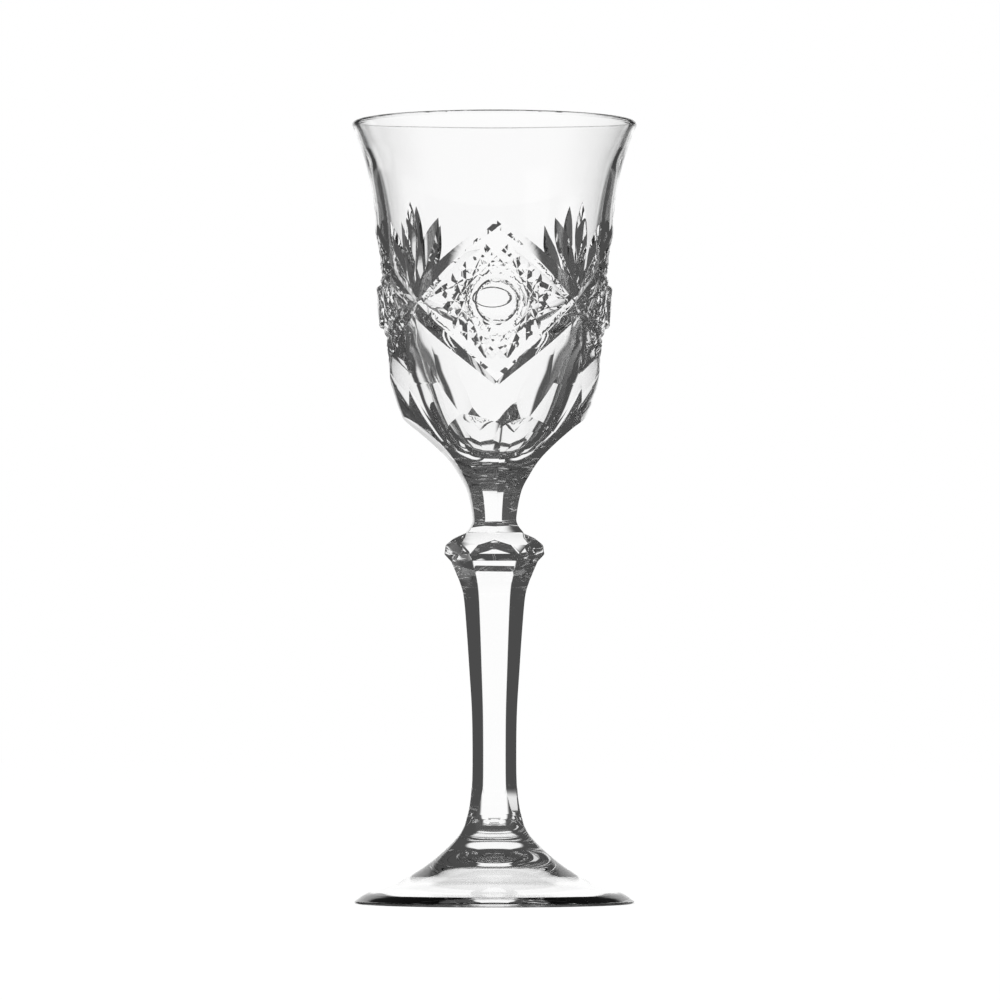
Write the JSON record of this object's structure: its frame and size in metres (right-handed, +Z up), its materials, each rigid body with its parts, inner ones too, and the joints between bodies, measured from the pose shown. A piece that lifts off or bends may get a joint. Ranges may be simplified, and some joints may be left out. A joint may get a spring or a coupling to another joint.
{
  "type": "cordial glass",
  "caption": "Small cut-crystal stemmed glass: flared bowl with diamond and fan cuts, fluted neck, faceted knop, faceted stem and round foot.",
  "frame": {"origin": "centre of the foot's underside, on the surface that the glass stands on", "axes": "+Z up along the glass's axis, -Y towards the picture's camera, +X to its right"},
  "size_m": [0.0528, 0.0528, 0.145],
  "materials": {
    "crystal": "clear polished lead crystal"
  },
  "bodies": {
    "root": {"bowl": "crystal", "knop": "crystal", "stem": "crystal", "foot": "crystal"}
  },
  "joints": []
}
